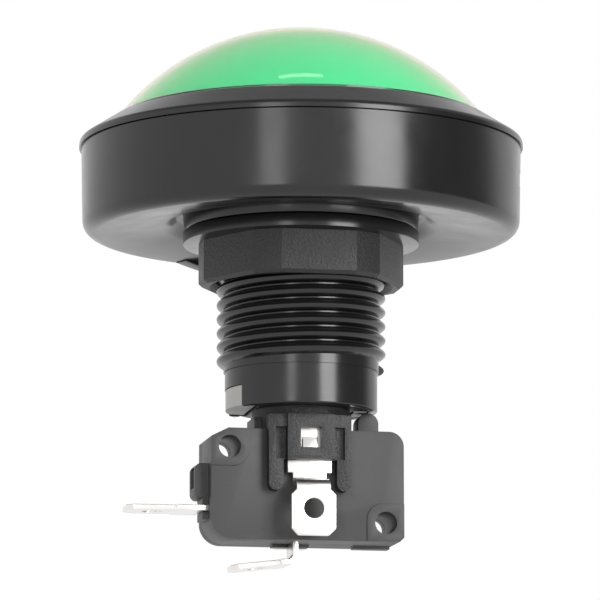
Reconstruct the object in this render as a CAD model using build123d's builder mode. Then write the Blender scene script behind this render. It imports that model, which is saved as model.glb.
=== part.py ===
from build123d import *
import os
from math import asin, cos, degrees, radians, sin, sqrt

# Arcade push button with a lit dome, clamped in a panel hole by a nut on its threaded stem.
# The origin is on the button's axis, in the plane of the drum's rim, which bears on the panel.
# +Z points up through the dome, +X runs along the switch and -Y is the front.

os.makedirs("parts", exist_ok=True)

# Fits, in millimetres
slide_gap = 0.2  # between the dome and the ring that it travels in
running_gap = 0.08  # radial, nut on stem
seat_gap = 0.1  # between pieces that rest on each other across a joint
part_gap = 0.05  # between fixed pieces that plug into each other

# Button travel
travel = 2.2

# Housing: drum, dished underside, stem and bayonet collar, one moulding
drum_d = 62.4
drum_draft = 0.25
drum_h = 12.3
drum_wall = 1.9
drum_fillet = 1.8
rim_w = 6.0
dish_depth = 2.7
dish_clear = 1.7
base_t = 2.0
stem_d = 24.0
stem_l = 19.7
collar_d = 21.5
collar_l = 5.7
bore_d = 19.0
guide_wall = 1.3
guide_h = 2.0
lug_arc = 56.0
lug_h = 1.8
lug_t = 2.4
lug_end = 1.4

# Snap windows in the drum wall, for the ring's hooks
snap_angle = -12.0
window_w = 5.0
window_h = 2.4
window_drop = 5.8

# Bayonet slots in the collar, and the holder's lugs in them
bayonet_angles = (132.0, 71.0)
bayonet_turn = -26.0
entry_w = 4.2
bayonet_rise = 2.9
bayonet_h = 1.7
bayonet_lug_w = 3.2

# Guide slot in the collar, for the slider's tab
guide_slot_w = 10.4
guide_slot_h = 3.1

# Bezel ring
bezel_overhang = 0.3
bezel_edge = 0.9
bezel_face_w = 5.2
bezel_face_h = 3.3
bezel_wall = 1.8
bezel_round = 0.4
bezel_edge_round = 0.7
lip_h = 3.0
spigot_h = 1.4
spigot_wall = 1.2
hook_w = 4.6
hook_reach = 1.5

# Dome and the coloured shell under it
dome_rise = 12.9
dome_wall = 1.0
dome_flange_w = 1.5
dome_flange_t = 1.8
insert_gap = 0.15
insert_wall = 1.5

# Slider under the dome
disc_inset = 0.3
disc_t = 1.6
sleeve_wall = 1.9
sleeve_gap = 0.2
sleeve_rise = 12.8
leg_w = 4.4
spring_rib_w = 1.0
spring_rib_h = 1.2

# Return spring
spring_wire = 1.0
spring_d = 24.6
spring_turns = 2

# Clamp washer and flange nut
washer_d = 33.6
washer_t = 2.35
washer_edge = 0.4
nut_flange_d = 33.4
nut_flange_t = 1.7
nut_h = 7.85
nut_flats = 27.0
nut_corners = 28.7
nut_chamfer = 0.9
nut_edge = 0.5

# Snap-action switch
switch_l = 27.4
switch_h = 15.5
switch_t = 10.3
switch_drop = 3.05
switch_cover_t = 2.2
switch_wall = 1.6
switch_front_wall = 1.25
switch_hole_d = 3.1
switch_hole_inset = 2.6
switch_hole_wall = 1.2
cavity_r = 0.8
switch_big_r = 3.0
switch_small_r = 2.1
switch_chamfer = 1.2
hole_pad = 5.4
hole_pad_t = 0.2
hole_pad_r = 2.2
end_lug = (1.9, 4.9, 4.4)
end_lug_drop = 7.2
end_lug_r = 0.9
end_pocket = (1.5, 2.9, 2.8)
end_ledge = (0.8, 3.0)
foot_pad = (5.2, 0.4, 2.0)
foot_pad_inset = 0.8

# Switch mechanism
plunger_x = 9.2
plunger_inset = 4.5
plunger_w = 3.0
plunger_d = 3.4
plunger_rise = 2.95
foot_w = 4.4
foot_t = 1.4
blade_t = 0.4
blade_w = 3.2
post_gap = 0.35
blade_tip = 0.2  # how far the blade reaches past the middle of the plunger
contact_x = 4.5
contact_d = 2.4
contact_h = 0.7

# Plated blade terminals
terminal_t = 0.8
terminal_w = 6.3
terminal_neck_w = 4.8
terminal_inner_w = 4.0
terminal_corner = 1.0
terminal_hole_d = 2.8
terminal_hole_end = 3.9
common_rise = 4.4
common_l = 11.5
common_shoulder = 4.5
open_x = -1.3
open_drop = 2.7
open_l = 9.1
open_slope = 7.0
open_bend = 1.2

# Lamp holder
neck_d = 13.8
neck_rise = 9.8
holder_plate_t = 1.8
holder_plate_d = 14.0
holder_plate_r = 1.5
holder_wing = 7.2
holder_w = 11.7
holder_leg_l = 8.9
holder_leg_w = 2.05
holder_leg_t = 1.65
holder_rib_w = 0.95
holder_back_t = 0.75
box_w = 6.7
box_t = 2.5
box_h = 4.5
box_window = (3.0, 2.9)
holder_clear = 0.1
notch_w = 7.0
notch_h = 0.8
notch_depth = 0.5

# Lamp terminals, stepped forward below the holder
strip_y = 6.1
strip_inner_y = 2.75
strip_bend = 0.9
shoulder_h = 1.85
blade_neck_h = 1.5
blade_step = 3.1
step_bend = 0.5
lamp_blade_l = 6.7
tang = (2.2, 1.6, 0.6)

# Wedge lamp
lamp_base_w = 9.4
lamp_base_h = 8.0
lamp_collar_d = 10.6
lamp_collar_h = 1.2
bulb_d = 9.8
bulb_h = 17.0
bulb_flat_r = 0.5

# Places that follow from the sizes above
drum_top_r = drum_d / 2
drum_rim_r = drum_top_r - drum_draft
drum_inner_r = drum_top_r - drum_wall
stem_r = stem_d / 2
collar_r = collar_d / 2
bore_r = bore_d / 2
base_top = dish_depth + base_t
guide_r = bore_r + guide_wall
collar_end = -stem_l - collar_l
bezel_r = drum_top_r + bezel_overhang
opening_r = bezel_r - bezel_face_w
opening_z = drum_h + bezel_edge + bezel_face_h
window_z = drum_h - window_drop
dome_r = opening_r - slide_gap
lip_z = opening_z - lip_h
flange_top = lip_z - seat_gap
disc_top = flange_top - dome_flange_t
disc_bottom = disc_top - disc_t
sleeve_r = bore_r - sleeve_gap
sleeve_inner_r = sleeve_r - sleeve_wall
sleeve_z = collar_end + sleeve_rise
tab_w = guide_slot_w - 2 * slide_gap
tab_end = collar_end + slide_gap
washer_r = washer_d / 2
washer_top = dish_depth - seat_gap
washer_bottom = washer_top - washer_t
nut_top = washer_bottom
nut_bore_r = stem_r + running_gap
switch_top = collar_end - switch_drop
plunger_top = switch_top + plunger_rise
switch_right = plunger_x + plunger_inset
switch_left = switch_right - switch_l
switch_mid_x = (switch_left + switch_right) / 2
switch_bottom = switch_top - switch_h
switch_mid_z = switch_top - switch_h / 2
end_lug_z = switch_top - end_lug_drop
common_z = switch_bottom + common_rise
switch_front = -switch_t / 2
seam_y = switch_t / 2 - switch_cover_t
ceiling_z = switch_top - switch_wall
foot_top = ceiling_z - seat_gap
foot_bottom = foot_top - foot_t
blade_top = foot_bottom - seat_gap
blade_bottom = blade_top - blade_t
foot_left = plunger_x - foot_w / 2
hole_boss_r = switch_hole_d / 2 + switch_hole_wall
blade_pivot_x = switch_left + switch_hole_inset + hole_boss_r + post_gap + terminal_t / 2
blade_angle = degrees(asin((travel + seat_gap) / (foot_left - blade_pivot_x)))
contact_drop = (contact_x + contact_d / 2 - blade_pivot_x) * sin(radians(blade_angle))
fixed_contact_top = blade_bottom - contact_h - contact_drop - seat_gap
shelf_top = fixed_contact_top - contact_h
mechanism_y = (switch_front + switch_front_wall + seam_y) / 2
holder_inner_y = switch_t / 2 + holder_clear
plate_bottom = switch_top + holder_clear
plate_top = plate_bottom + holder_plate_t
box_z = plate_bottom - box_h
leg_end_z = plate_bottom - holder_leg_l
neck_top = collar_end + neck_rise
lamp_seat = neck_top


def revolved(*profile):
    """Turn a closed profile of radius and height points about the button's axis."""
    with BuildSketch(Plane.XZ) as half_section:
        with BuildLine():
            Polyline(*profile, close=True)
        make_face()
    revolve(half_section.sketch, axis=Axis.Z)


# Housing: a drum on a dished base, with the stem and the collar below it
with BuildPart() as housing:
    rim_inner_r = drum_rim_r - rim_w
    dish_floor_r = washer_r + dish_clear
    revolved(
        (drum_rim_r, 0),
        (drum_top_r, drum_h),
        (drum_inner_r, drum_h),
        (drum_inner_r, base_t),
        (rim_inner_r, base_t),
        (dish_floor_r, base_top),
        (guide_r, base_top),
        (guide_r, base_top + guide_h),
        (bore_r, base_top + guide_h),
        (bore_r, collar_end),
        (collar_r, collar_end),
        (collar_r, -stem_l),
        (stem_r, -stem_l),
        (stem_r, dish_depth),
        (dish_floor_r, dish_depth),
        (rim_inner_r, 0),
    )
    rim_edge = housing.edges().filter_by(GeomType.CIRCLE).filter_by_position(Axis.Z, -0.01, 0.01)
    fillet(rim_edge.sort_by(SortBy.RADIUS)[-1], drum_fillet)
    # Locating lug under the back of the rim, along an arc, with sloped ends
    lug_start = Plane.XZ.rotated((0, 0, 90 - lug_arc / 2))
    with BuildSketch(lug_start):
        with Locations((drum_rim_r - drum_fillet - part_gap, 0)):
            Rectangle(lug_t, lug_h, align=(Align.MAX, Align.MAX))
    revolve(axis=Axis.Z, revolution_arc=lug_arc)
    lug_foot = housing.faces().filter_by(Plane.XY).filter_by_position(Axis.Z, -lug_h - 0.01, -lug_h + 0.01)
    chamfer(lug_foot.edges().filter_by(GeomType.LINE), lug_end)
    # Snap windows through the drum wall
    with BuildSketch(Plane.XY.offset(window_z)):
        with PolarLocations(drum_top_r, 2, start_angle=snap_angle):
            Rectangle(4 * drum_wall, window_w)
    extrude(amount=window_h, mode=Mode.SUBTRACT)
    # L-shaped bayonet slots: an entry from the collar's end, then a turn to the locked place
    for angle in bayonet_angles:
        for step, height in ((0, bayonet_rise), (bayonet_turn / 2, bayonet_h), (bayonet_turn, bayonet_h)):
            with BuildSketch(Plane.XY.offset(collar_end + bayonet_rise)):
                with PolarLocations(collar_r, 1, start_angle=angle + step):
                    Rectangle(collar_d - bore_d + 2, entry_w)
            extrude(amount=-height, mode=Mode.SUBTRACT)
    # Guide slot in the collar's left side, open at its end
    with Locations((-collar_r, 0, collar_end)):
        Box(
            2 * (collar_r - sleeve_inner_r),
            guide_slot_w,
            guide_slot_h,
            align=(Align.CENTER, Align.CENTER, Align.MIN),
            mode=Mode.SUBTRACT,
        )
housing.part.label = "housing"
export_step(housing.part, "parts/housing.step")

# Bezel ring: a cone that traps the dome, with a spigot in the drum and two snap hooks
with BuildPart() as bezel_ring:
    spigot_r = drum_inner_r - part_gap
    spigot_inner_r = spigot_r - spigot_wall
    lip_r = dome_r + dome_flange_w + 2 * slide_gap
    revolved(
        (bezel_r, drum_h),
        (bezel_r, drum_h + bezel_edge),
        (opening_r, opening_z),
        (opening_r, lip_z),
        (lip_r, lip_z),
        (spigot_inner_r, drum_h + bezel_edge - bezel_wall / 2),
        (spigot_inner_r, drum_h - spigot_h),
        (spigot_r, drum_h - spigot_h),
        (spigot_r, drum_h),
    )
    for ring_z, ring_round in ((opening_z, bezel_round), (drum_h + bezel_edge, bezel_edge_round)):
        ring_edges = bezel_ring.edges().filter_by(GeomType.CIRCLE)
        fillet(ring_edges.filter_by_position(Axis.Z, ring_z - 0.01, ring_z + 0.01), ring_round)
    hook_z = window_z + part_gap
    with BuildSketch(Plane.XY.offset(hook_z)):
        with PolarLocations(spigot_inner_r, 2, start_angle=snap_angle):
            Rectangle(spigot_wall, hook_w, align=(Align.MIN, Align.CENTER))
        Circle(spigot_r, mode=Mode.INTERSECT)
    extrude(amount=drum_h - hook_z)
    with BuildSketch(Plane.XY.offset(hook_z)):
        with PolarLocations(spigot_inner_r, 2, start_angle=snap_angle):
            Rectangle(spigot_wall + hook_reach, hook_w, align=(Align.MIN, Align.CENTER))
    extrude(amount=window_h - 2 * part_gap)
bezel_ring.part.label = "bezel_ring"
export_step(bezel_ring.part, "parts/bezel_ring.step")


def dome_section(skirt_r, crown_r, centre_z, foot_z, wall):
    """Draw half a domed shell: two arcs about one centre on straight skirts of one wall."""
    inner_r = skirt_r - wall
    inner_crown_r = crown_r - wall
    spring_z = centre_z + sqrt(crown_r**2 - skirt_r**2)
    inner_spring_z = centre_z + sqrt(inner_crown_r**2 - inner_r**2)
    apex_z = centre_z + crown_r
    with BuildLine() as outline:
        Line((0, apex_z - wall), (0, apex_z))
        RadiusArc((0, apex_z), (skirt_r, spring_z), crown_r)
        Polyline((skirt_r, spring_z), (skirt_r, foot_z), (inner_r, foot_z), (inner_r, inner_spring_z))
        RadiusArc((inner_r, inner_spring_z), (0, apex_z - wall), -inner_crown_r)
    make_face(outline.edges())


# Clear dome, with a flange that the ring holds down
dome_crown_r = (dome_r**2 + dome_rise**2) / (2 * dome_rise)
dome_centre_z = opening_z + dome_rise - dome_crown_r
with BuildPart() as dome_lens:
    with BuildSketch(Plane.XZ):
        dome_section(dome_r, dome_crown_r, dome_centre_z, disc_top, dome_wall)
        with Locations((dome_r, disc_top)):
            Rectangle(dome_flange_w, dome_flange_t, align=(Align.MIN, Align.MIN))
    revolve(axis=Axis.Z)
dome_lens.part.label = "dome_lens"
export_step(dome_lens.part, "parts/dome_lens.step")

# Coloured shell, nested under the clear dome and standing on the slider's disc
with BuildPart() as colour_insert:
    nest = dome_wall + insert_gap
    with BuildSketch(Plane.XZ):
        dome_section(dome_r - nest, dome_crown_r - nest, dome_centre_z, disc_top, insert_wall)
    revolve(axis=Axis.Z)
colour_insert.part.label = "colour_insert"
export_step(colour_insert.part, "parts/colour_insert.step")

# Slider: the disc under the dome, the sleeve in the stem, the leg that presses the switch and a guide leg
with BuildPart() as slider:
    disc_r = dome_r + dome_flange_w - disc_inset
    rib_r = spring_d / 2 + spring_wire / 2 + seat_gap
    leg_end = plunger_top + seat_gap
    revolved(
        (sleeve_inner_r, disc_top),
        (disc_r, disc_top),
        (disc_r, disc_bottom),
        (rib_r + spring_rib_w, disc_bottom),
        (rib_r + spring_rib_w, disc_bottom - spring_rib_h),
        (rib_r, disc_bottom - spring_rib_h),
        (rib_r, disc_bottom),
        (sleeve_r, disc_bottom),
        (sleeve_r, sleeve_z),
        (sleeve_inner_r, sleeve_z),
    )
    with BuildSketch(Plane.XY.offset(leg_end)):
        Circle(sleeve_r)
        Circle(sleeve_inner_r, mode=Mode.SUBTRACT)
        Rectangle(bore_d, leg_w, align=(Align.MIN, Align.CENTER), mode=Mode.INTERSECT)
    extrude(amount=sleeve_z - leg_end)
    # Second leg on the left, with a tab that runs in the collar's guide slot
    for outer_r, leg_top in ((sleeve_r, sleeve_z), (collar_r - seat_gap, collar_end + guide_slot_h - seat_gap)):
        with BuildSketch(Plane.XY.offset(tab_end)):
            Circle(outer_r)
            with Locations((-sleeve_inner_r, 0)):
                Rectangle(bore_d, tab_w, align=(Align.MAX, Align.CENTER), mode=Mode.INTERSECT)
        extrude(amount=leg_top - tab_end)
slider.part.label = "slider"
export_step(slider.part, "parts/slider.step")

# Return spring, between the base and the slider's disc
with BuildPart() as return_spring:
    wire_r = spring_wire / 2
    coil_low = base_top + wire_r + part_gap
    coil_high = disc_bottom - wire_r - part_gap
    with BuildLine() as coil:
        Helix(
            pitch=(coil_high - coil_low) / spring_turns,
            height=coil_high - coil_low,
            radius=spring_d / 2,
            center=(0, 0, coil_low),
        )
    with BuildSketch(Plane(origin=coil.line @ 0, z_dir=coil.line % 0)):
        Circle(wire_r)
    sweep()
return_spring.part.label = "return_spring"
export_step(return_spring.part, "parts/return_spring.step")

# Clamp washer
with BuildPart() as panel_washer:
    revolved(
        (nut_bore_r, washer_top),
        (washer_r - washer_edge, washer_top),
        (washer_r, washer_top - washer_edge),
        (washer_r, washer_bottom + washer_edge),
        (washer_r - washer_edge, washer_bottom),
        (nut_bore_r, washer_bottom),
    )
panel_washer.part.label = "panel_washer"
export_step(panel_washer.part, "parts/panel_washer.step")

# Flange nut: a round flange and a hexagon with its corners cut off
with BuildPart() as flange_nut:
    with BuildSketch(Plane.XY.offset(nut_top)):
        Circle(nut_flange_d / 2)
    extrude(amount=-nut_flange_t)
    with BuildSketch(Plane.XY.offset(nut_top - nut_flange_t)):
        RegularPolygon(nut_flats / 2, 6, major_radius=False)
        RegularPolygon(nut_corners / 2, 6, major_radius=False, rotation=30, mode=Mode.INTERSECT)
    extrude(amount=-(nut_h - nut_flange_t))
    chamfer(flange_nut.faces().sort_by(Axis.Z)[0].edges(), nut_edge)
    with Locations((0, 0, nut_top)):
        Cylinder(nut_bore_r, nut_h, align=(Align.CENTER, Align.CENTER, Align.MAX), mode=Mode.SUBTRACT)
    mouth = flange_nut.edges().filter_by(GeomType.CIRCLE).sort_by(Axis.Z)[0]
    chamfer(mouth, nut_chamfer)
flange_nut.part.label = "flange_nut"
export_step(flange_nut.part, "parts/flange_nut.step")


def lamp_strip(side, thickness):
    """Draw the side view of a lamp terminal's hidden strip, from the lamp down to the holder's foot."""
    with BuildLine() as path:
        FilletPolyline(
            (side * strip_inner_y, lamp_seat - lamp_base_h / 4),
            (side * strip_inner_y, plate_top),
            (side * strip_y, plate_top),
            (side * strip_y, box_z),
            radius=strip_bend,
        )
    trace(path.line, line_width=thickness)


# Lamp holder: neck and bayonet ring in the collar, plate on the switch, legs and boxes beside it
with BuildPart() as lamp_holder:
    back_y = -(holder_inner_y + holder_back_t)
    half_w = holder_w / 2
    # Back web of one side, from the plate down to the box's foot
    with BuildSketch(Plane.XZ.offset(holder_inner_y)):
        with Locations((0, plate_top)):
            Rectangle(holder_w, plate_top - box_z, align=(Align.CENTER, Align.MAX))
    extrude(amount=holder_back_t)
    # Two legs with round ends, each thinned to its outer rib beside the box
    leg_mid = half_w - holder_leg_w / 2
    with BuildSketch(Plane.XZ.offset(holder_inner_y)):
        for side in (-1, 1):
            with Locations((side * leg_mid, leg_end_z + holder_leg_w / 2)):
                Circle(holder_leg_w / 2)
                Rectangle(
                    holder_leg_w,
                    plate_top - leg_end_z - holder_leg_w / 2,
                    align=(Align.CENTER, Align.MIN),
                )
    extrude(amount=holder_leg_t)
    with BuildSketch(Plane.XZ.offset(-back_y)):
        for side in (-1, 1):
            with Locations((side * (half_w - holder_rib_w), plate_bottom)):
                Rectangle(
                    holder_leg_w - holder_rib_w,
                    plate_bottom - box_z,
                    align=(Align.MAX if side > 0 else Align.MIN, Align.MAX),
                )
    extrude(amount=holder_leg_t, mode=Mode.SUBTRACT)
    # Box round the terminal, with a window over its tang
    with BuildSketch(Plane.XZ.offset(holder_inner_y)):
        with Locations((0, plate_top)):
            Rectangle(box_w, plate_top - box_z, align=(Align.CENTER, Align.MAX))
    extrude(amount=box_t)
    with BuildSketch(Plane.XZ.offset(strip_y)):
        with Locations((0, plate_bottom)):
            Rectangle(*box_window, align=(Align.CENTER, Align.MAX))
    extrude(amount=box_t, mode=Mode.SUBTRACT)
    mirror(about=Plane.XZ)
    # Plate across the switch's top, with a wing on the side away from the plunger
    with BuildSketch(Plane.XY.offset(plate_bottom)):
        RectangleRounded(holder_w, holder_plate_d, holder_plate_r)
        with Locations((-holder_wing, 0)):
            Rectangle(holder_wing, holder_w / 2, align=(Align.MIN, Align.CENTER))
    extrude(amount=holder_plate_t)
    # Neck, bayonet ring and lugs
    ring_bottom = collar_end + bayonet_rise - bayonet_h + part_gap
    with Locations((0, 0, plate_bottom)):
        Cylinder(neck_d / 2, neck_top - plate_bottom, align=(Align.CENTER, Align.CENTER, Align.MIN))
    with BuildSketch(Plane.XY.offset(collar_end + seat_gap)):
        Circle(bore_r - part_gap)
        with Locations((neck_d / 2, 0)):
            Rectangle(bore_d, leg_w + 2 * slide_gap, align=(Align.MIN, Align.CENTER), mode=Mode.SUBTRACT)
        with Locations((-neck_d / 2, 0)):
            Rectangle(bore_d, guide_slot_w, align=(Align.MAX, Align.CENTER), mode=Mode.SUBTRACT)
    extrude(amount=bayonet_rise - seat_gap - part_gap)
    for angle in bayonet_angles:
        with BuildSketch(Plane.XY.offset(ring_bottom)):
            with PolarLocations(neck_d / 2, 1, start_angle=angle + bayonet_turn):
                Rectangle(collar_r - neck_d / 2 - part_gap, bayonet_lug_w, align=(Align.MIN, Align.CENTER))
        extrude(amount=bayonet_h - 2 * part_gap)
    # Shallow notch across the front of the neck, under the collar
    with Locations((0, -neck_d / 2, collar_end)):
        Box(
            notch_w,
            2 * notch_depth,
            notch_h,
            align=(Align.CENTER, Align.CENTER, Align.MAX),
            mode=Mode.SUBTRACT,
        )
    # Socket for the lamp's wedge base, and slots for the two terminals
    with BuildSketch(Plane.XY.offset(neck_top)):
        Rectangle(lamp_base_w + 2 * part_gap, 2 * strip_inner_y - terminal_t)
    extrude(amount=-(lamp_base_h + part_gap), mode=Mode.SUBTRACT)
    for side in (-1, 1):
        with BuildSketch(Plane.YZ):
            lamp_strip(side, terminal_t + 2 * part_gap)
        extrude(amount=terminal_inner_w / 2 + part_gap, both=True, mode=Mode.SUBTRACT)
lamp_holder.part.label = "lamp_holder"
export_step(lamp_holder.part, "parts/lamp_holder.step")

# Lamp terminal: hidden strip, shoulders, a neck that steps forward and a blade with a hole
with BuildPart() as lamp_terminal_front:
    with BuildSketch(Plane.YZ):
        lamp_strip(-1, terminal_t)
    extrude(amount=terminal_inner_w / 2, both=True)
    with BuildSketch(Plane.XZ.offset(strip_y)):
        with Locations((0, box_z)):
            Rectangle(terminal_w, shoulder_h, align=(Align.CENTER, Align.MAX))
    extrude(amount=terminal_t / 2, both=True)
    step_z = box_z - shoulder_h - blade_neck_h
    blade_y = strip_y + blade_step
    blade_z = step_z - terminal_t / 2 - step_bend
    with BuildSketch(Plane.YZ):
        with BuildLine():
            FilletPolyline(
                (-strip_y, box_z),
                (-strip_y, step_z),
                (-blade_y, step_z),
                (-blade_y, blade_z - terminal_corner),
                radius=step_bend + terminal_t / 2,
            )
        trace(line_width=terminal_t)
    extrude(amount=terminal_neck_w / 2, both=True)
    with BuildSketch(Plane.XZ.offset(blade_y)) as lamp_blade:
        with Locations((0, blade_z)):
            Rectangle(terminal_w, lamp_blade_l, align=(Align.CENTER, Align.MAX))
        chamfer(lamp_blade.vertices(), terminal_corner)
        with Locations((0, (step_z + blade_z - lamp_blade_l) / 2)):
            Circle(terminal_hole_d / 2, mode=Mode.SUBTRACT)
    extrude(amount=terminal_t / 2, both=True)
    # Locking tang, lanced out of the strip into the holder's window
    tang_w, tang_h, tang_out = tang
    tang_z = plate_bottom - box_window[1] + part_gap
    with BuildSketch(Plane.YZ):
        with BuildLine():
            Polyline(
                (-strip_y, tang_z),
                (-strip_y - terminal_t / 2 - tang_out, tang_z),
                (-strip_y - terminal_t / 2, tang_z + tang_h),
                (-strip_y, tang_z + tang_h),
                close=True,
            )
        make_face()
    extrude(amount=tang_w / 2, both=True)
lamp_terminal_front.part.label = "lamp_terminal_front"
export_step(lamp_terminal_front.part, "parts/lamp_terminal_front.step")

with BuildPart() as lamp_terminal_rear:
    mirror(lamp_terminal_front.part, about=Plane.XZ)
lamp_terminal_rear.part.label = "lamp_terminal_rear"
export_step(lamp_terminal_rear.part, "parts/lamp_terminal_rear.step")

# Wedge base of the lamp, with a collar that sits on the neck
with BuildPart() as lamp_base:
    wedge_t = 2 * strip_inner_y - terminal_t - 2 * part_gap
    with BuildSketch(Plane.XY.offset(lamp_seat)):
        Rectangle(lamp_base_w, wedge_t)
    extrude(amount=-lamp_base_h)
    with Locations((0, 0, lamp_seat)):
        Cylinder(lamp_collar_d / 2, lamp_collar_h, align=(Align.CENTER, Align.CENTER, Align.MIN))
lamp_base.part.label = "lamp_base"
export_step(lamp_base.part, "parts/lamp_base.step")

# Sealed bulb with a round end, standing on the base
with BuildPart() as lamp_bulb:
    bulb_r = bulb_d / 2
    with Locations((0, 0, lamp_seat + lamp_collar_h)):
        Cylinder(bulb_r, bulb_h, align=(Align.CENTER, Align.CENTER, Align.MIN))
    fillet(lamp_bulb.faces().sort_by(Axis.Z)[-1].edges(), bulb_r - bulb_flat_r)
lamp_bulb.part.label = "lamp_bulb"
export_step(lamp_bulb.part, "parts/lamp_bulb.step")


def switch_outline(mode=Mode.ADD):
    """Draw the switch's side outline: one chamfered, two rounded and one barely broken corner."""
    with BuildSketch(mode=Mode.PRIVATE) as outline:
        with Locations((switch_mid_x, switch_mid_z)):
            Rectangle(switch_l, switch_h)
        fillet(outline.vertices().sort_by_distance((switch_left, switch_bottom))[0], switch_big_r)
        fillet(outline.vertices().sort_by_distance((switch_right, switch_top))[0], switch_small_r)
        chamfer(outline.vertices().sort_by_distance((switch_left, switch_top))[0], switch_chamfer, 2 * switch_chamfer)
        chamfer(outline.vertices().sort_by_distance((switch_right, switch_bottom))[0], switch_chamfer / 2)
    add(outline.sketch_local, mode=mode)


hole_points = (
    (switch_left + switch_hole_inset, switch_top - switch_hole_inset),
    (switch_right - switch_hole_inset, switch_bottom + switch_hole_inset),
)

# Switch case: open at the back, with the mechanism's cavity, hole bosses and terminal slots
with BuildPart() as switch_case:
    with BuildSketch(Plane.XZ.offset(-seam_y)):
        switch_outline()
    extrude(amount=seam_y - switch_front)
    # Raised pads round the mounting holes, each with one round corner
    with BuildSketch(Plane.XZ.offset(-switch_front)) as hole_pads:
        with Locations(*hole_points):
            Rectangle(hole_pad, hole_pad)
        inner_corners = hole_pads.vertices().sort_by_distance((switch_mid_x, switch_mid_z))[:2]
        fillet(inner_corners, hole_pad_r)
        switch_outline(Mode.INTERSECT)
    extrude(amount=hole_pad_t)
    # Lug on the end face, with a blind pocket where a third terminal would leave, and a ledge below it
    lug_out, lug_tall, lug_deep = end_lug
    with BuildSketch(Plane.XZ.offset(-mechanism_y)) as lug_side:
        with Locations((switch_left, end_lug_z)):
            Rectangle(2 * lug_out, lug_tall)
        fillet(lug_side.vertices().group_by(Axis.X)[0], end_lug_r)
        ledge_out, ledge_tall = end_ledge
        with Locations((switch_left - ledge_out, end_lug_z)):
            Rectangle(lug_out, lug_tall / 2 + ledge_tall, align=(Align.MIN, Align.MAX))
    extrude(amount=lug_deep / 2, both=True)
    pocket_out, pocket_tall, pocket_deep = end_pocket
    with Locations((switch_left - lug_out, mechanism_y, end_lug_z + (lug_tall - pocket_tall) / 4)):
        Box(2 * pocket_out, pocket_deep, pocket_tall, mode=Mode.SUBTRACT)
    # The mechanism's cavity, round the hole bosses
    with BuildSketch(Plane.XZ.offset(-seam_y)):
        with Locations((switch_mid_x, switch_mid_z)):
            RectangleRounded(switch_l - 2 * switch_wall, switch_h - 2 * switch_wall, cavity_r)
        with Locations(*hole_points):
            Circle(hole_boss_r, mode=Mode.SUBTRACT)
    extrude(amount=seam_y - switch_front - switch_front_wall, mode=Mode.SUBTRACT)
    # Pads under the case
    pad_l, pad_t, pad_deep = foot_pad
    for x in (open_x, switch_right - foot_pad_inset - pad_l / 2):
        with Locations((x, seam_y, switch_bottom)):
            Box(pad_l, pad_deep, pad_t, align=(Align.CENTER, Align.MAX, Align.MAX))
    # Openings for the plunger and the two terminals
    with Locations((plunger_x, mechanism_y, switch_top)):
        Box(plunger_w + 2 * seat_gap, plunger_d + 2 * seat_gap, 4 * switch_wall, mode=Mode.SUBTRACT)
    with Locations((switch_left, mechanism_y, common_z)):
        Box(4 * switch_wall, terminal_neck_w + 2 * part_gap, terminal_t + 2 * part_gap, mode=Mode.SUBTRACT)
    with Locations((open_x, mechanism_y, switch_bottom)):
        Box(terminal_t + 2 * part_gap, terminal_neck_w + 2 * part_gap, 4 * switch_wall, mode=Mode.SUBTRACT)
    with BuildSketch(Plane.XZ.offset(-seam_y)):
        with Locations(*hole_points):
            Circle(switch_hole_d / 2)
    extrude(amount=2 * switch_t, mode=Mode.SUBTRACT)
switch_case.part.label = "switch_case"
export_step(switch_case.part, "parts/switch_case.step")

# Switch cover: the back plate, with the same outline and holes
with BuildPart() as switch_cover:
    with BuildSketch(Plane.XZ.offset(-switch_t / 2)):
        switch_outline()
        with Locations(*hole_points):
            Circle(switch_hole_d / 2, mode=Mode.SUBTRACT)
    extrude(amount=switch_cover_t)
switch_cover.part.label = "switch_cover"
export_step(switch_cover.part, "parts/switch_cover.step")

# Switch plunger: a round-topped button on a wider foot inside the case
with BuildPart() as switch_plunger:
    with BuildSketch(Plane.XZ.offset(-mechanism_y)):
        with Locations((plunger_x, plunger_top - plunger_w / 2)):
            Circle(plunger_w / 2)
            Rectangle(
                plunger_w, plunger_top - plunger_w / 2 - foot_bottom, align=(Align.CENTER, Align.MAX)
            )
    extrude(amount=plunger_d / 2, both=True)
    with Locations((plunger_x, mechanism_y, foot_top)):
        Box(foot_w, plunger_d, foot_t, align=(Align.CENTER, Align.CENTER, Align.MAX))
switch_plunger.part.label = "switch_plunger"
export_step(switch_plunger.part, "parts/switch_plunger.step")

# Snap blade, hinged at its round end over the common terminal's post, with its contact below
with BuildPart() as snap_blade:
    with BuildSketch(Plane.XZ.offset(-mechanism_y)):
        with Locations((blade_pivot_x, blade_top - blade_t / 2)):
            Circle(blade_t / 2)
            Rectangle(plunger_x + blade_tip - blade_pivot_x, blade_t, align=(Align.MIN, Align.CENTER))
    extrude(amount=blade_w / 2, both=True)
snap_blade.part.label = "snap_blade"
export_step(snap_blade.part, "parts/snap_blade.step")

with BuildPart() as blade_contact:
    with Locations((contact_x, mechanism_y, blade_bottom)):
        Cylinder(contact_d / 2, contact_h, align=(Align.CENTER, Align.CENTER, Align.MAX))
blade_contact.part.label = "blade_contact"
export_step(blade_contact.part, "parts/blade_contact.step")

with BuildPart() as fixed_contact:
    with Locations((contact_x, mechanism_y, fixed_contact_top)):
        Cylinder(contact_d / 2, contact_h, align=(Align.CENTER, Align.CENTER, Align.MAX))
fixed_contact.part.label = "fixed_contact"
export_step(fixed_contact.part, "parts/fixed_contact.step")


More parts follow.
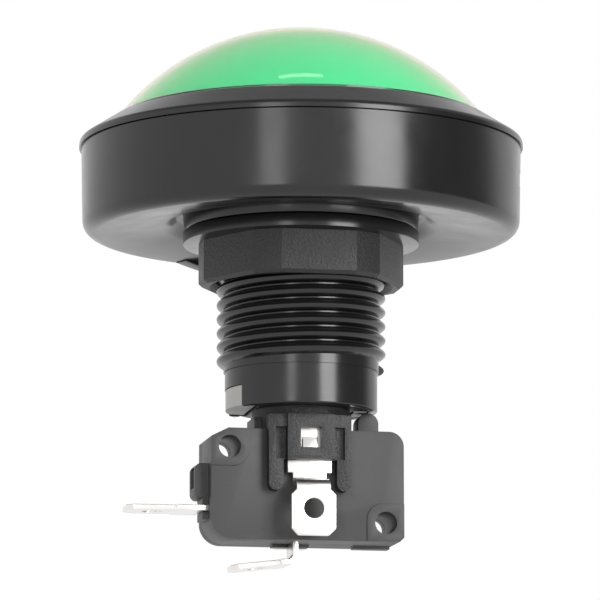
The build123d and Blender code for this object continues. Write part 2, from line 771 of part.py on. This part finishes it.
def blade_tab(length, shoulder):
    """Draw a blade terminal from above: a neck and shoulders, then a tab with cut corners and a hole."""
    with BuildSketch(mode=Mode.PRIVATE) as tab:
        Rectangle(length, terminal_neck_w, align=(Align.MAX, Align.CENTER))
        chamfer(tab.vertices().group_by(Axis.X)[0], terminal_corner)
        Rectangle(shoulder, terminal_w, align=(Align.MAX, Align.CENTER))
        with Locations((terminal_hole_end - length, 0)):
            Circle(terminal_hole_d / 2, mode=Mode.SUBTRACT)
    add(tab.sketch_local)


# Common terminal: out of the left end, with a post inside that carries the blade
with BuildPart() as terminal_common:
    common_top = common_z + terminal_t / 2
    with BuildSketch(Plane((switch_left, mechanism_y, common_z))):
        blade_tab(common_l, common_shoulder)
    extrude(amount=terminal_t / 2, both=True)
    with BuildSketch(Plane.XZ.offset(-mechanism_y)):
        with BuildLine():
            Polyline(
                (switch_left, common_z),
                (blade_pivot_x, common_z),
                (blade_pivot_x, blade_bottom - seat_gap),
            )
        trace(line_width=terminal_t)
    extrude(amount=terminal_inner_w / 2, both=True)
terminal_common.part.label = "terminal_common"
export_step(terminal_common.part, "parts/terminal_common.step")

# Open terminal: a shelf under the fixed contact, down through the case, then bent to the left
with BuildPart() as terminal_open:
    shelf_mid = shelf_top - terminal_t / 2
    drop_z = switch_bottom - open_drop
    slope = radians(open_slope)
    with BuildSketch(Plane.XZ.offset(-mechanism_y)):
        with BuildLine():
            FilletPolyline(
                (contact_x + contact_d / 2, shelf_mid),
                (open_x, shelf_mid),
                (open_x, drop_z),
                (open_x - 2 * open_bend * cos(slope), drop_z - 2 * open_bend * sin(slope)),
                radius=open_bend,
            )
        trace(line_width=terminal_t)
    extrude(amount=terminal_neck_w / 2, both=True)
    tail_plane = Plane(
        origin=(open_x - open_bend * cos(slope), mechanism_y, drop_z - open_bend * sin(slope)),
        x_dir=(cos(slope), 0, sin(slope)),
        z_dir=(-sin(slope), 0, cos(slope)),
    )
    with BuildSketch(tail_plane):
        blade_tab(open_l - open_bend, terminal_corner)
    extrude(amount=terminal_t / 2, both=True)
terminal_open.part.label = "terminal_open"
export_step(terminal_open.part, "parts/terminal_open.step")
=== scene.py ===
import bpy
import bmesh
from math import asin, atan2, cos, pi, radians, sin
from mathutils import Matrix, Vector


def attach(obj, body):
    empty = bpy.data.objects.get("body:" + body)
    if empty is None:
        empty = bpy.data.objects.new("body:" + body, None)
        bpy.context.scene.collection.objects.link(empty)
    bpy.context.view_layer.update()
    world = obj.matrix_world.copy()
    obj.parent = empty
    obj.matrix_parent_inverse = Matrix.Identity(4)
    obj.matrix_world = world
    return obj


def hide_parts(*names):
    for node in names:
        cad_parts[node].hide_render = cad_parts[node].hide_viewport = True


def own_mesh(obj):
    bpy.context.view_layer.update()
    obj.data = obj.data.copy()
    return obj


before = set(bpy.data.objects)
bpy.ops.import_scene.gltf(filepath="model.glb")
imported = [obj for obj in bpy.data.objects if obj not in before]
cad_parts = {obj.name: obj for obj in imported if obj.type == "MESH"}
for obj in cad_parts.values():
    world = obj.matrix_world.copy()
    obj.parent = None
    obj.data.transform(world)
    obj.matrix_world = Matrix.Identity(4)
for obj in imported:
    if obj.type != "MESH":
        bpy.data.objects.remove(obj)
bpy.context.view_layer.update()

# The studio: a pale floor well below the part, because the photograph looks up at it from below the switch.
# Two soft boxes stand right and left of the camera, and a small one hangs over the dome.
MM = 0.001
view_azimuth = radians(-10.9)
view_elevation = radians(-9.3)
aim = Vector((-0.14, 0.03, -9.27)) * MM
camera_distance = 700
floor_width = 6000
floor_height = -420
paper_glow = 0.75


def linear(hex_colour):
    """Turn an sRGB hex colour into the linear one that the shaders take."""
    parts = [int(hex_colour[i:i + 2], 16) / 255 for i in (1, 3, 5)]
    return [c / 12.92 if c <= 0.04045 else ((c + 0.055) / 1.055) ** 2.4 for c in parts] + [1.0]


def add_node(tree, kind, settings=None, inputs=None):
    """Add a node with its settings, and set or link its inputs."""
    node = tree.nodes.new(kind)
    for name, value in (settings or {}).items():
        setattr(node, name, value)
    for name, value in (inputs or {}).items():
        if isinstance(value, bpy.types.NodeSocket):
            tree.links.new(value, node.inputs[name])
        else:
            node.inputs[name].default_value = value
    return node


def either(tree, first, second):
    """Add two values, up to 1."""
    total = add_node(tree, "ShaderNodeMath", {"operation": "ADD", "use_clamp": True}, {0: first, 1: second})
    return total.outputs[0]


def ramp(tree, value, low, high, first, last, kind="LINEAR"):
    """Turn a value between low and high into one between first and last."""
    ends = {0: value, 1: low, 2: high, 3: first, 4: last}
    return add_node(tree, "ShaderNodeMapRange", {"interpolation_type": kind}, ends).outputs[0]


def mix_values(tree, share, first, second):
    """Mix two values."""
    return add_node(tree, "ShaderNodeMix", {"data_type": "FLOAT"}, {0: share, 2: first, 3: second}).outputs[0]


def mix_shaders(tree, share, first, second):
    """Mix two shaders."""
    return add_node(tree, "ShaderNodeMixShader", inputs={0: share, 1: first, 2: second}).outputs[0]


def direction(azimuth, elevation):
    """Point from the part to a place round it, counted from the front to the right and upwards."""
    return Vector((sin(azimuth) * cos(elevation), -cos(azimuth) * cos(elevation), sin(elevation)))


pure_white = linear("#FFFFFF")
to_camera = direction(view_azimuth, view_elevation)
bpy.ops.object.select_all(action="DESELECT")
bpy.ops.object.camera_add(location=aim + camera_distance * MM * to_camera)
camera = bpy.context.object
camera.name = "camera"
camera.rotation_euler = (-to_camera).to_track_quat("-Z", "Y").to_euler()
camera.data.sensor_width = 36
camera.data.lens = 297
camera.data.clip_start = 0.01
bpy.context.scene.camera = camera

# The floor's paper is white to gloss and to glass, and glows a little to the camera.
bpy.ops.mesh.primitive_grid_add(
    x_subdivisions=8, y_subdivisions=8, size=floor_width * MM, location=(0, 0, floor_height * MM)
)
floor = bpy.context.object
floor.name = "floor"
bpy.ops.object.transform_apply(location=True, rotation=True, scale=True)
pale_paper = bpy.data.materials.new("pale_paper")
pale_paper.use_nodes = True
paper = pale_paper.node_tree
paper_shader = paper.nodes["Principled BSDF"]
paper_shader.inputs["Base Color"].default_value = linear("#EDEDED")
paper_shader.inputs["Roughness"].default_value = 0.9
path = add_node(paper, "ShaderNodeLightPath")
mirrored = either(paper, path.outputs["Is Transmission Ray"], path.outputs["Is Glossy Ray"])
glow = add_node(
    paper,
    "ShaderNodeMath",
    {"operation": "MULTIPLY_ADD", "use_clamp": True},
    {0: path.outputs["Is Camera Ray"], 1: paper_glow, 2: mirrored},
)
white = add_node(paper, "ShaderNodeEmission", inputs={"Color": pure_white, "Strength": 1.0})
lit_paper = mix_shaders(paper, glow.outputs[0], paper_shader.outputs[0], white.outputs[0])
paper.links.new(lit_paper, paper.nodes["Material Output"].inputs["Surface"])
floor.data.materials.append(pale_paper)

# The background is white to the camera and to glass, and lights the part more softly than that.
# Gloss sees it too, with a darker studio wall on the right and a darker ceiling.
background_light = 0.28
wall_light = 0.25
wall_azimuth = view_azimuth + radians(84)
wall_start, wall_end = 0.7, 0.93
ceiling_light = 0.42
ceiling_start, ceiling_end = 0.35, 0.75

world = bpy.data.worlds.new("white_studio")
bpy.context.scene.world = world
world.use_nodes = True
sky = world.node_tree
sky.nodes.clear()
path = add_node(sky, "ShaderNodeLightPath")
plain = either(sky, path.outputs["Is Camera Ray"], path.outputs["Is Transmission Ray"])
seen = either(sky, plain, path.outputs["Is Glossy Ray"])
way = add_node(sky, "ShaderNodeTexCoord").outputs["Generated"]
wall = add_node(
    sky, "ShaderNodeVectorMath", {"operation": "DOT_PRODUCT"}, {0: way, 1: direction(wall_azimuth, 0)}
)
wall = ramp(sky, wall.outputs["Value"], wall_start, wall_end, 1.0, wall_light, "SMOOTHSTEP")
height = add_node(sky, "ShaderNodeSeparateXYZ", inputs={0: way}).outputs["Z"]
ceiling = ramp(sky, height, ceiling_start, ceiling_end, 0.0, 1.0, "SMOOTHSTEP")
studio = mix_values(sky, plain, mix_values(sky, ceiling, wall, ceiling_light), 1.0)
soft = add_node(sky, "ShaderNodeBackground", inputs={"Color": pure_white, "Strength": background_light})
white = add_node(sky, "ShaderNodeBackground", inputs={"Color": pure_white, "Strength": studio})
backdrop = mix_shaders(sky, seen, soft.outputs[0], white.outputs[0])
add_node(sky, "ShaderNodeOutputWorld", inputs={"Surface": backdrop})


def soft_box(name, turn, height, away, wide, tall, watts):
    """Stand a soft box round the part, turned from the camera's side and aimed at the part's middle."""
    to_lamp = direction(view_azimuth + radians(turn), radians(height))
    bpy.ops.object.light_add(type="AREA", location=aim + away * MM * to_lamp)
    lamp = bpy.context.object
    lamp.name = name
    lamp.rotation_euler = (-to_lamp).to_track_quat("-Z", "Y").to_euler()
    lamp.data.shape = "RECTANGLE"
    lamp.data.size = wide * MM
    lamp.data.size_y = tall * MM
    lamp.data.energy = watts


soft_box("right_soft_box", turn=41, height=10, away=700, wide=300, tall=480, watts=3.2)
soft_box("left_soft_box", turn=-14, height=10, away=700, wide=150, tall=480, watts=0.65)
soft_box("top_soft_box", turn=4, height=91, away=600, wide=140, tall=24, watts=0.024)

bpy.context.scene.view_settings.view_transform = "Standard"

# Housing: one black ABS moulding, with the drum, its dished underside, the threaded stem and the collar.
# It comes glossy from a polished tool, with the thread, the snap windows and the bayonet slots moulded in.
# The profile is half of its section: the radius, height and rounding of each corner in millimetres.
collar_radius = 10.75
housing_profile = (
    (30.95, 0, 1.8), (31.2, 12.3, 0.15), (29.3, 12.3, 0.1), (29.3, 2.0, 0.4), (24.95, 2.0, 0),
    (18.5, 4.7, 0.5), (10.8, 4.7, 0.2), (10.8, 6.7, 0.2), (9.5, 6.7, 0.2), (9.5, -25.4, 0.2),
    (collar_radius, -25.4, 0.25), (collar_radius, -19.75, 0), (10.95, -19.75, 0), (10.95, 2.7, 0),
    (17.6, 2.7, 0.4), (19.0, 1.2, 0.8), (25.5, 0, 4),
)
snap_angles = (-12, 168)
snap_window_size = (7.6, 5.0, 2.4)
snap_window_place = (31.2, 0, 7.7)
slot_angles = (132, 71)
slot_turn = -26
slot_depth, slot_width = 4.5, 4.2
slot_top, slot_floor, slot_entry = -22.5, -24.2, -26.0
guide_slot_size = (6.7, 10.4, 3.7)
guide_slot_place = (-collar_radius, 0, -24.15)
lug_profile = ((26.7, -1.8, 0.2), (29.1, -1.8, 0.2), (29.1, 0.8, 0), (26.7, 0.8, 0))
lug_arc = radians(56)
lug_steps, lug_ramp_steps = 14, 4
lug_foot, lug_ramp = -1.5, 1.7
lug_angle = 118
thread_pitch = 2.0
thread_turns = 10.6
thread_profile = (
    (10.6, -20.02, 0), (10.6, -18.18, 0), (10.95, -18.18, 0), (11.5, -18.48, 0), (11.86, -18.82, 0),
    (11.95, -19.1, 0), (11.86, -19.38, 0), (11.5, -19.72, 0), (10.95, -20.02, 0),
)
thread_end_profile = ((8.0, -25.0, 0), (14.0, -25.0, 0), (14.0, -19.7, 0), (8.0, -19.7, 0))
steps_per_turn = 72
smooth_angle = 32


def leave_edit_mode():
    """Go back to object mode, with nothing selected."""
    if bpy.context.object and bpy.context.object.mode == "EDIT":
        bpy.ops.object.mode_set(mode="OBJECT")
    bpy.ops.object.select_all(action="DESELECT")


def choose(piece):
    """Select one piece in object mode, with nothing else selected."""
    leave_edit_mode()
    bpy.context.view_layer.objects.active = piece
    piece.select_set(True)


def edit_mesh(piece):
    """Go into edit mode on one piece, with all of it selected, and hand back its mesh."""
    choose(piece)
    bpy.ops.object.mode_set(mode="EDIT")
    bpy.ops.mesh.select_mode(type="VERT")
    bpy.ops.mesh.select_all(action="SELECT")
    return bmesh.from_edit_mesh(piece.data)


def draw_section(name, corners):
    """Draw a closed section, corner by corner, and round the corners that have a rounding."""
    leave_edit_mode()
    bpy.ops.mesh.primitive_plane_add(size=MM)
    piece = bpy.context.object
    piece.name = piece.data.name = name
    edit_mesh(piece)
    bpy.ops.mesh.merge(type="CENTER")
    places = [Vector((radius, 0, height)) * MM for radius, height, rounding in corners]
    bpy.ops.transform.translate(value=places[0])
    for here, there in zip(places, places[1:] + places[:1]):
        bpy.ops.mesh.extrude_vertices_move(TRANSFORM_OT_translate={"value": there - here})
    bpy.ops.mesh.select_all(action="SELECT")
    bpy.ops.mesh.remove_doubles(threshold=0.001 * MM)
    for (radius, height, rounding), corner in zip(corners, places):
        if rounding:
            mesh = bmesh.from_edit_mesh(piece.data)
            for vertex in mesh.verts:
                vertex.select_set((vertex.co - corner).length < 0.005 * MM)
            bpy.ops.mesh.bevel(offset=rounding * MM, segments=5, affect="VERTICES", clamp_overlap=False)
    return piece


def close_shell(piece):
    """Merge a shell's seam, point its faces outwards and smooth all but its sharp edges."""
    edit_mesh(piece)
    bpy.ops.mesh.remove_doubles(threshold=0.0005 * MM)
    bpy.ops.mesh.delete_loose()
    bpy.ops.mesh.select_all(action="SELECT")
    bpy.ops.mesh.normals_make_consistent(inside=False)
    bpy.ops.object.mode_set(mode="OBJECT")
    bpy.ops.object.shade_smooth_by_angle(angle=radians(smooth_angle))


def turn_section(piece, steps, arc=2 * pi):
    """Turn a section about the button's axis, all round or along an arc with closed ends."""
    edit_mesh(piece)
    if arc < 2 * pi:
        bpy.ops.mesh.edge_face_add()
    bpy.ops.mesh.spin(steps=steps, angle=arc, center=(0, 0, 0), axis=(0, 0, 1))
    close_shell(piece)


def screw_section(piece, turns, pitch):
    """Wind a section up the button's axis as a right-hand thread or coil, and close its two ends."""
    choose(piece)
    screw = piece.modifiers.new("thread", "SCREW")
    screw.axis = "Z"
    screw.angle = 2 * pi * turns
    screw.screw_offset = pitch * MM * turns
    screw.steps = screw.render_steps = int(steps_per_turn * turns)
    bpy.ops.object.modifier_apply(modifier=screw.name)
    edit_mesh(piece)
    bpy.ops.mesh.select_all(action="DESELECT")
    bpy.ops.mesh.select_mode(type="EDGE")
    bpy.ops.mesh.select_non_manifold(extend=False)
    bpy.ops.mesh.fill()
    close_shell(piece)


def turn_piece(piece, angle):
    """Turn a finished piece about the button's axis, and keep the turn in its mesh."""
    choose(piece)
    piece.rotation_euler.z = radians(angle)
    bpy.ops.object.transform_apply(location=True, rotation=True, scale=True)


def cut_block(name, size, place, angle):
    """Add a block to cut with, of a size and at a place in millimetres, turned about the button's axis."""
    leave_edit_mode()
    bpy.ops.mesh.primitive_cube_add(size=1)
    piece = bpy.context.object
    piece.name = piece.data.name = name
    edit_mesh(piece)
    bpy.ops.transform.resize(value=Vector(size) * MM, center_override=(0, 0, 0))
    bpy.ops.transform.translate(value=Vector(place) * MM)
    turn_piece(piece, angle)
    return piece


def combine(piece, tool, operation):
    """Cut a tool out of a piece, or weld it on, and remove the tool."""
    choose(piece)
    cut = piece.modifiers.new(operation.lower(), "BOOLEAN")
    cut.operation = operation
    cut.solver = "EXACT"
    cut.object = tool
    bpy.ops.object.modifier_apply(modifier=cut.name)
    bpy.data.objects.remove(tool)


def new_material(name):
    """Start a material on the Principled shader, with the piece's own coordinates."""
    material = bpy.data.materials.new(name)
    material.use_nodes = True
    tree = material.node_tree
    place = add_node(tree, "ShaderNodeTexCoord").outputs["Object"]
    return material, tree, tree.nodes["Principled BSDF"], place


def noise(tree, place, width, detail):
    """Add noise in patches of a width in millimetres."""
    patches = {"Vector": place, "Scale": 1 / (width * MM), "Detail": detail}
    return add_node(tree, "ShaderNodeTexNoise", inputs=patches).outputs["Fac"]


def tint(tree, shader, value, first, second):
    """Vary the colour between two sRGB colours, as a value goes from 0 to 1."""
    colours = {0: value, 6: linear(first), 7: linear(second)}
    mixed = add_node(tree, "ShaderNodeMix", {"data_type": "RGBA"}, colours)
    tree.links.new(mixed.outputs[2], shader.inputs["Base Color"])


def roughen(tree, shader, value, first, last, low=0.0, high=1.0):
    """Vary the roughness from first to last, as a value goes from low to high."""
    tree.links.new(ramp(tree, value, low, high, first, last), shader.inputs["Roughness"])


def emboss(tree, shader, value, strength, depth):
    """Raise the surface by a value, to a depth in millimetres."""
    relief = {"Strength": strength, "Distance": depth * MM, "Height": value}
    bump = add_node(tree, "ShaderNodeBump", inputs=relief)
    tree.links.new(bump.outputs[0], shader.inputs["Normal"])


def set_shader(shader, settings):
    """Set the shader's inputs that don't vary."""
    for name, value in settings.items():
        shader.inputs[name].default_value = value


def dress(piece, material):
    """Give a piece, or a shown solid of the frame, one material all over."""
    if piece.material_slots:
        for slot in piece.material_slots:
            slot.material = material
    else:
        piece.data.materials.append(material)


housing = draw_section("housing_moulding", housing_profile)
turn_section(housing, steps=192)
for snap_angle in snap_angles:
    window = cut_block("snap_window", snap_window_size, snap_window_place, snap_angle)
    combine(housing, window, "DIFFERENCE")
for slot_angle in slot_angles:
    for turn, low in ((0, slot_entry), (slot_turn / 2, slot_floor), (slot_turn, slot_floor)):
        slot_size = (slot_depth, slot_width, slot_top - low)
        slot_place = (collar_radius, 0, (slot_top + low) / 2)
        combine(housing, cut_block("bayonet_slot", slot_size, slot_place, slot_angle + turn), "DIFFERENCE")
combine(housing, cut_block("guide_slot", guide_slot_size, guide_slot_place, 0), "DIFFERENCE")

# The lug's foot rises to the rim in steps towards both of its ends.
lug = draw_section("rim_lug", lug_profile)
turn_section(lug, lug_steps, lug_arc)
for step in range(lug_ramp_steps):
    mesh = edit_mesh(lug)
    for vertex in mesh.verts:
        along = -atan2(vertex.co.y, vertex.co.x) / lug_arc * lug_steps
        near_end = abs(min(along, lug_steps - along) - step) < 0.1
        vertex.select_set(near_end and vertex.co.z < lug_foot * MM)
    bpy.ops.transform.translate(value=(0, 0, (1 - step / lug_ramp_steps) * lug_ramp * MM))
close_shell(lug)
turn_piece(lug, lug_angle)
combine(housing, lug, "UNION")

# The thread runs out at the collar, where its lower end is cut off square.
thread = draw_section("stem_thread", thread_profile)
screw_section(thread, thread_turns, thread_pitch)
thread_end = draw_section("thread_end", thread_end_profile)
turn_section(thread_end, steps=96)
combine(thread, thread_end, "DIFFERENCE")
combine(housing, thread, "UNION")
close_shell(housing)

# Gloss black ABS: polished, with a faint waviness about 4 mm wide and smears of handling in its gloss.
gloss_black_abs, tree, shader, place = new_material("gloss_black_abs")
smear = noise(tree, place, width=7, detail=4)
roughen(tree, shader, smear, first=0.16, last=0.26, low=0.3, high=0.7)
tint(tree, shader, smear, "#141415", "#1B1B1C")
emboss(tree, shader, noise(tree, place, width=4, detail=1), strength=0.25, depth=0.02)
set_shader(shader, {"IOR": 1.53})
dress(housing, gloss_black_abs)
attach(housing, "base")
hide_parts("housing")

# Return spring: two turns of drawn steel wire between the housing's base and the slider's disc.
# The wire is wound to a coil with cut ends; in the switch the press closes it up from the disc's side, but
# here the coil stays as wound.
wire_radius, wire_sides = 0.5, 16
coil_radius, coil_pitch, coil_turns = 12.3, 2.1, 2
coil_foot, coil_top, press = 4.75, 9.95, 2.2
wire_profile = []
for side in range(wire_sides):
    angle = 2 * pi * side / wire_sides
    wire_height = coil_foot + wire_radius * (1 + sin(angle))
    wire_profile.append((coil_radius + wire_radius * cos(angle), wire_height, 0))
spring = draw_section("return_coil", wire_profile)
screw_section(spring, coil_turns, coil_pitch)
drawn_steel, tree, shader, place = new_material("drawn_spring_steel")
roughen(tree, shader, noise(tree, place, width=0.4, detail=3), first=0.25, last=0.45)
set_shader(shader, {"Base Color": linear("#A9ABAD"), "Metallic": 1.0})
dress(spring, drawn_steel)
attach(spring, "base")
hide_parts("return_spring")
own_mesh(spring)

# Slider: a white ABS moulding under the dome, guided in the stem, with the leg that presses the switch.
# White reflects the lamp up into the dome, and the satin tool leaves a grain about 0.3 mm wide.
satin_white_abs, tree, shader, place = new_material("satin_white_abs")
emboss(tree, shader, noise(tree, place, width=0.3, detail=2), strength=0.2, depth=0.02)
tint(tree, shader, noise(tree, place, width=8, detail=3), "#E9E8E3", "#F1F0EC")
set_shader(shader, {"Roughness": 0.42, "IOR": 1.53})
dress(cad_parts["slider"], satin_white_abs)

# Lamp: a sealed glass bulb on a white wedge base, pushed into the holder's neck.
# The glass is clear and smooth, with the faint unevenness of blown glass.
dress(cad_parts["lamp_base"], satin_white_abs)
clear_glass, tree, shader, place = new_material("clear_lamp_glass")
emboss(tree, shader, noise(tree, place, width=3, detail=1), strength=0.1, depth=0.05)
set_shader(shader, {"Base Color": linear("#F4F7F5"), "Roughness": 0.02})
set_shader(shader, {"IOR": 1.5, "Transmission Weight": 1.0})
dress(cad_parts["lamp_bulb"], clear_glass)

# Coloured insert: a thin shell of green tinted acrylic that stands on the slider's disc, just under the dome.
# The tint is in the plastic, which is frosted so that the lamp lights it evenly.
# Its crown and the dome's are parts of spheres about one centre on the axis.
crown_radius, crown_centre, crown_steps = 32.853, -3.453, 36
dome_edge, dome_wall = 26.1, 0.3
insert_depth, insert_inside = 0.36, 2.0
disc_top = 11.6
crown_turn_steps = 160


def crown_arc(depth):
    """List the corners of a crown some way below the dome's outside, from the axis to the edge."""
    radius = crown_radius - depth
    edge_angle = asin((dome_edge - depth) / radius)
    angles = [edge_angle * step / crown_steps for step in range(crown_steps + 1)]
    return [(radius * sin(angle), crown_centre + radius * cos(angle), 0) for angle in angles]


insert_foot = [(dome_edge - insert_depth, disc_top, 0), (dome_edge - insert_inside, disc_top, 0)]
insert_profile = crown_arc(insert_depth) + insert_foot + crown_arc(insert_inside)[::-1]
insert = draw_section("green_insert", insert_profile)
turn_section(insert, crown_turn_steps)
green_acrylic, tree, shader, place = new_material("green_frosted_acrylic")
cloud = noise(tree, place, width=9, detail=3)
tint(tree, shader, cloud, "#3EFDB7", "#48FEBF")
roughen(tree, shader, cloud, first=0.1, last=0.18)
set_shader(shader, {"IOR": 1.2, "Transmission Weight": 0.02})
set_shader(shader, {"Sheen Weight": 0.55, "Sheen Roughness": 0.3, "Sheen Tint": linear("#DCA070")})
dress(insert, green_acrylic)
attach(insert, "button")
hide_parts("colour_insert")

# Dome: one clear acrylic moulding with a flange that the bezel ring holds down.
# It is polished all over, and looks a little warm where it is seen along its wall, at the rim.
flange_radius, flange_top, flange_round = 27.6, 13.4, 0.2
dome_foot = [
    (dome_edge, flange_top, 0), (flange_radius, flange_top, flange_round),
    (flange_radius, disc_top, flange_round), (dome_edge - dome_wall, disc_top, 0),
]
dome = draw_section("clear_dome", crown_arc(0) + dome_foot + crown_arc(dome_wall)[::-1])
turn_section(dome, crown_turn_steps)
clear_acrylic, tree, shader, place = new_material("clear_acrylic")
roughen(tree, shader, noise(tree, place, width=10, detail=2), first=0.01, last=0.05)
warmth = {"Color": (0.9, 0.86, 0.05, 1), "Density": 380}
depth = add_node(tree, "ShaderNodeVolumeAbsorption", inputs=warmth)
tree.links.new(depth.outputs[0], tree.nodes["Material Output"].inputs["Volume"])
set_shader(shader, {"Base Color": linear("#FDFDFB"), "IOR": 1.42, "Transmission Weight": 1.0})
dress(dome, clear_acrylic)
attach(dome, "button")
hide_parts("dome_lens")

# Bezel ring: a conical ring of the same gloss black ABS, snapped into the drum over the dome's flange.
# Its shape is the solid's, with the rounded outer edge and the two hooks.
dress(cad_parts["bezel_ring"], gloss_black_abs)

# Clamp washer: a loose ring of black nylon that lies between the panel and the nut.
# It is moulded with rounded edges, and handling has polished it to a soft gloss in patches about 3 mm wide.
washer_profile = ((12.08, 2.6, 0.15), (16.8, 2.6, 0.3), (16.4, 0.29, 0.4), (12.08, 0.29, 0.15))
washer = draw_section("clamp_washer", washer_profile)
turn_section(washer, steps=144)
soft_gloss_nylon, tree, shader, place = new_material("soft_gloss_black_nylon")
roughen(tree, shader, noise(tree, place, width=3, detail=3), first=0.14, last=0.26)
set_shader(shader, {"Base Color": linear("#19191A"), "IOR": 1.53})
dress(washer, soft_gloss_nylon)
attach(washer, "washer")
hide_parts("panel_washer")

# Flange nut: a black nylon moulding, a round flange on a hexagon with cut corners, threaded inside.
# Its flats come from a spark-eroded tool, which leaves an even matte grain, and its flange is polished.
flange_low = -1.5
sharp_angle = 20
nut_edge = 0.3
nut_thread_turns = 2.4
nut_thread_profile = (
    (12.4, -6.75, 0), (12.4, -5.45, 0), (12.06, -5.47, 0),
    (11.3, -5.97, 0), (11.3, -6.23, 0), (12.06, -6.73, 0),
)


def rounded_copy(node, name, edge):
    """Copy one of the frame's solids as a merged mesh, and round its sharp edges by a width."""
    piece = bpy.data.objects.new(name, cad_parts[node].data.copy())
    piece.data.name = name
    piece.data.materials.clear()
    bpy.context.scene.collection.objects.link(piece)
    choose(piece)
    bpy.ops.mesh.customdata_custom_splitnormals_clear()
    edit_mesh(piece)
    bpy.ops.mesh.remove_doubles(threshold=0.002 * MM)
    bpy.ops.mesh.dissolve_limited(angle_limit=radians(0.4))
    bpy.ops.object.mode_set(mode="OBJECT")
    rounding = piece.modifiers.new("rounded_edges", "BEVEL")
    rounding.width = edge * MM
    rounding.segments = 3
    rounding.limit_method = "ANGLE"
    rounding.angle_limit = radians(sharp_angle)
    rounding.use_clamp_overlap = True
    bpy.ops.object.modifier_apply(modifier=rounding.name)
    bpy.ops.object.shade_smooth_by_angle(angle=radians(sharp_angle + 1))
    return piece


nut = rounded_copy("flange_nut", "hexagon_flange_nut", nut_edge)
nut_thread = draw_section("nut_thread", nut_thread_profile)
screw_section(nut_thread, nut_thread_turns, thread_pitch)
combine(nut, nut_thread, "UNION")
bpy.ops.object.shade_smooth_by_angle(angle=radians(sharp_angle + 1))

# Eroded nylon: an even grain about 0.35 mm wide, matte, with a little variation from place to place.
eroded_nylon, tree, shader, place = new_material("eroded_black_nylon")
grain = noise(tree, place, width=0.35, detail=4)
roughen(tree, shader, noise(tree, place, width=5, detail=2), first=0.38, last=0.52)
tint(tree, shader, grain, "#181819", "#252525")
emboss(tree, shader, grain, strength=0.9, depth=0.12)
set_shader(shader, {"IOR": 1.53})
dress(nut, eroded_nylon)
nut.data.materials.append(soft_gloss_nylon)
for face in nut.data.polygons:
    face.material_index = int(face.center.z > flange_low * MM)
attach(nut, "nut")
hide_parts("flange_nut")

# Lamp holder: a black nylon moulding, turned and locked in the collar, with legs that straddle the switch.
# Its front and back boxes grip the lamp terminals, and a window shows each terminal's locking tang.
holder_edge = 0.15
holder = rounded_copy("lamp_holder", "bayonet_lamp_holder", holder_edge)
dress(holder, eroded_nylon)
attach(holder, "base")
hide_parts("lamp_holder")

# Lamp terminals: tin plated brass strip, stamped, bent and pushed up into the holder until the tang locks.
# The press leaves rounded edges, and the plating has rolling streaks and a soft mirror shine.
blade_edge = 0.12
streak_length, streak_width = 2, 0.3
tinned_brass, tree, shader, place = new_material("tin_plated_brass")
streak_scale = (1 / (streak_length * MM), 1 / (streak_length * MM), 1 / (streak_width * MM))
stretch = add_node(tree, "ShaderNodeMapping", inputs={"Vector": place, "Scale": streak_scale})
streaks = {"Vector": stretch.outputs[0], "Scale": 1.0, "Detail": 4}
streak = add_node(tree, "ShaderNodeTexNoise", inputs=streaks).outputs["Fac"]
roughen(tree, shader, streak, first=0.2, last=0.4)
tint(tree, shader, streak, "#E6E2DF", "#F4F2F0")
emboss(tree, shader, streak, strength=0.1, depth=0.02)
set_shader(shader, {"Metallic": 1.0})
for node, name in (("lamp_terminal_front", "front_lamp_blade"), ("lamp_terminal_rear", "rear_lamp_blade")):
    blade = rounded_copy(node, name, blade_edge)
    dress(blade, tinned_brass)
    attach(blade, "base")
    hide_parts(node)

# Switch body: a grey thermoset case with a cover of the same stuff, closed round the mechanism at one seam.
# Thermoset comes matte and slightly mottled from the mould, with its filler showing as fine specks.
matte_thermoset, tree, shader, place = new_material("matte_grey_thermoset")
speck = noise(tree, place, width=0.4, detail=5)
patch = noise(tree, place, width=4, detail=3)
tint(tree, shader, mix_values(tree, 0.5, speck, patch), "#3A3B3B", "#474746")
roughen(tree, shader, patch, first=0.42, last=0.58)
emboss(tree, shader, speck, strength=0.3, depth=0.03)
set_shader(shader, {"IOR": 1.55})
for node, name, edge, body in (
    ("switch_case", "switch_body", 0.12, "base"),
    ("switch_cover", "switch_back", 0.2, "base"),
    ("switch_plunger", "switch_button_cap", 0.15, "switch_button"),
):
    piece = rounded_copy(node, name, edge)
    dress(piece, matte_thermoset)
    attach(piece, body)
    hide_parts(node)

# Switch mechanism: a phosphor bronze blade hinged on the common terminal, with silver alloy contact rivets.
# The rolled strip keeps a warm satin shine, and the rivets are pressed and burnished.
rolled_bronze, tree, shader, place = new_material("rolled_phosphor_bronze")
roughen(tree, shader, noise(tree, place, width=0.5, detail=3), first=0.25, last=0.42)
set_shader(shader, {"Base Color": linear("#C99A5B"), "Metallic": 1.0})
dress(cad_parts["snap_blade"], rolled_bronze)
silver_alloy, tree, shader, place = new_material("pressed_silver_alloy")
roughen(tree, shader, noise(tree, place, width=0.3, detail=3), first=0.18, last=0.35)
set_shader(shader, {"Base Color": linear("#E3E2DE"), "Metallic": 1.0})
dress(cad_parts["blade_contact"], silver_alloy)
dress(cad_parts["fixed_contact"], silver_alloy)

# Switch terminals: the same plated strip, one straight out of the case's end and one bent left below it.
# They are moulded into the case, and each blade has a hole for a soldered wire.
for node, name in (("terminal_common", "common_blade"), ("terminal_open", "open_blade")):
    blade = rounded_copy(node, name, blade_edge)
    dress(blade, tinned_brass)
    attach(blade, "base")
    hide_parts(node)
